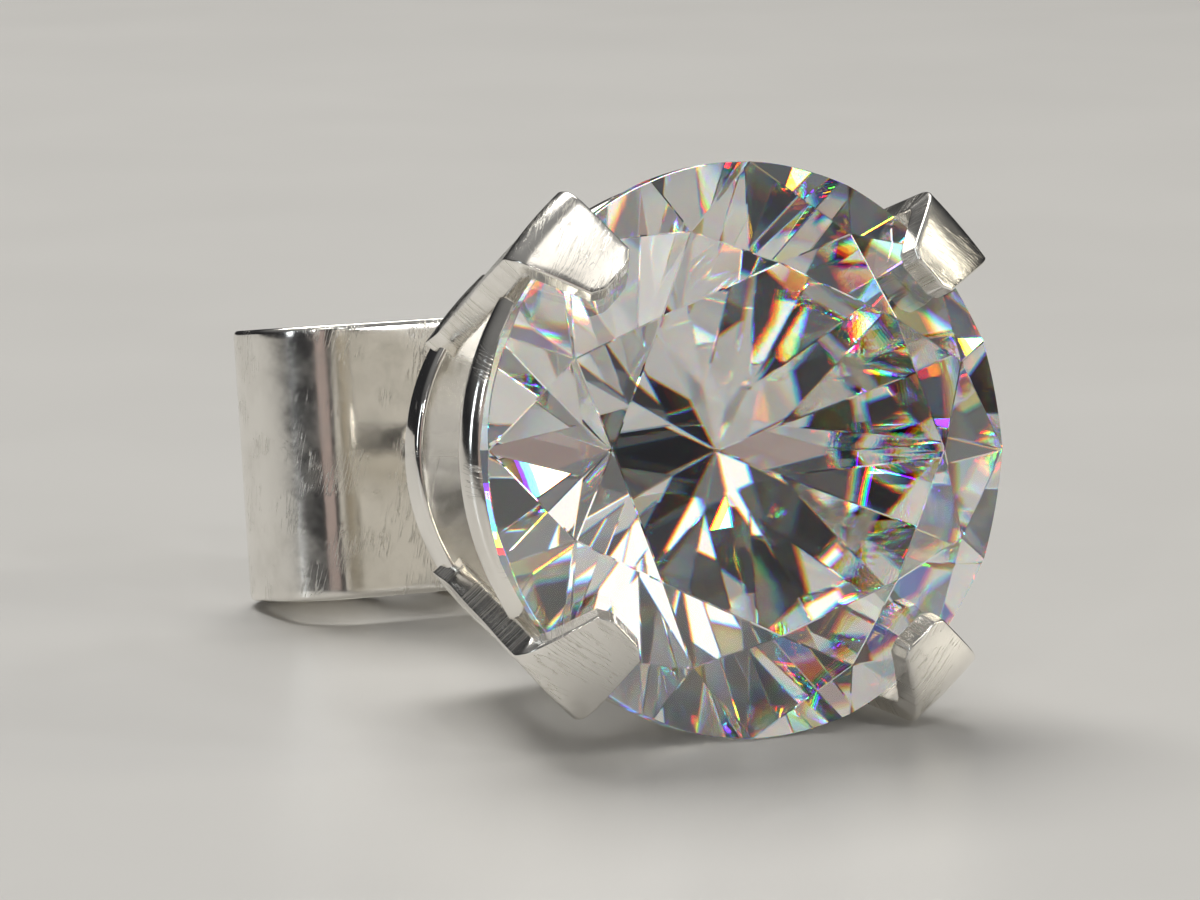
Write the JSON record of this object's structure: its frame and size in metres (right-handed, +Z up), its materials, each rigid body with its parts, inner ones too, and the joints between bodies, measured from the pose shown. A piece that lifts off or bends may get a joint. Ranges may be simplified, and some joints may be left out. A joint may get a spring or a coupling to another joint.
{
  "type": "stud earring",
  "caption": "Stud earring lying unworn: a colourless round brilliant stone in a four-claw silver basket with a straight post, closed by a rolled friction nut.",
  "frame": {"origin": "on the surface that it lies on, under the middle of the bounding box", "axes": "+Z up from the surface, +Y from the stone's face back along the post, +X to the right as seen from the front"},
  "size_m": [0.008, 0.0164, 0.0079],
  "materials": {
    "stone": "colourless cubic zirconia, cut and polished",
    "silver": "bright silver with fine filing scratches on the claws"
  },
  "bodies": {
    "root": {"stone": "stone", "setting": "silver", "ear_nut": "silver"}
  },
  "joints": []
}
